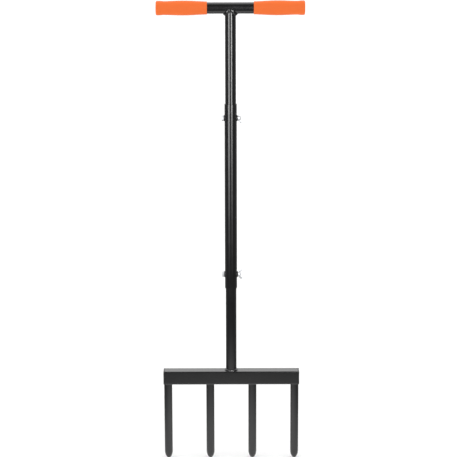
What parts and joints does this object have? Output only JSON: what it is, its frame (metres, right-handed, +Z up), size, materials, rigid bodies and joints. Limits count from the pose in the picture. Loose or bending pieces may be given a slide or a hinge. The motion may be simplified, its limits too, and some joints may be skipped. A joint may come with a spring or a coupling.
{
  "type": "lawn aerator",
  "caption": "Hand lawn aerator: round solid tines under a square foot bar, a bolted telescoping pole and a T handle with soft grips.",
  "frame": {"origin": "on the pole's axis, at the height of the tine tips, midway along the row of tines", "axes": "+Z up along the pole to the handle, X along the handle, the foot bar and the row of tines with the wing nuts at +X, -Y towards the side the picture shows"},
  "size_m": [0.3, 0.0296, 0.9628],
  "materials": {
    "black_coat": "black powder coat, smooth and semi-gloss",
    "orange_grip": "orange soft grip, matt to satin",
    "black_plastic": "black moulded plastic, fine matt",
    "zinc": "bright zinc plate"
  },
  "bodies": {
    "aerator": {"cross_tube": "black_coat", "left_grip": "orange_grip", "right_grip": "orange_grip", "upper_tube": "black_coat", "handle_weld": "black_coat", "middle_tube": "black_coat", "lower_tube": "black_coat", "pole_weld": "black_coat", "upper_bolt": "zinc", "lower_bolt": "zinc", "upper_left_saddle_washer": "black_plastic", "lower_left_saddle_washer": "black_plastic", "foot_bar": "black_coat", "left_end_cap": "black_plastic", "right_end_cap": "black_plastic", "tine_1": "black_coat", "tine_2": "black_coat", "tine_3": "black_coat", "tine_4": "black_coat", "tine_weld_1": "black_coat", "tine_weld_2": "black_coat", "tine_weld_3": "black_coat", "tine_weld_4": "black_coat"},
    "upper_washer": {"upper_right_saddle_washer": "black_plastic"},
    "upper_nut": {"upper_wing_nut": "zinc"},
    "lower_washer": {"lower_right_saddle_washer": "black_plastic"},
    "lower_nut": {"lower_wing_nut": "zinc"}
  },
  "joints": [
    {"name": "upper_washer_slide", "type": "slide", "parent": "aerator", "child": "upper_washer", "axis": [1, 0, 0], "range_m": [0, 0.00325]},
    {"name": "upper_wing_nut_turn", "type": "hinge", "parent": "upper_washer", "child": "upper_nut", "pos_m": [0.0142, 0, 0.725], "axis": [1, 0, 0], "range_deg": [0, 1171]},
    {"name": "lower_washer_slide", "type": "slide", "parent": "aerator", "child": "lower_washer", "axis": [1, 0, 0], "range_m": [0, 0.00325]},
    {"name": "lower_wing_nut_turn", "type": "hinge", "parent": "lower_washer", "child": "lower_nut", "pos_m": [0.0142, 0, 0.399], "axis": [1, 0, 0], "range_deg": [0, 1171]}
  ],
  "couplings": [
    {"joint": "upper_wing_nut_turn", "follows": "upper_washer_slide", "rad_per_m": 6283.2},
    {"joint": "lower_wing_nut_turn", "follows": "lower_washer_slide", "rad_per_m": 6283.2}
  ]
}
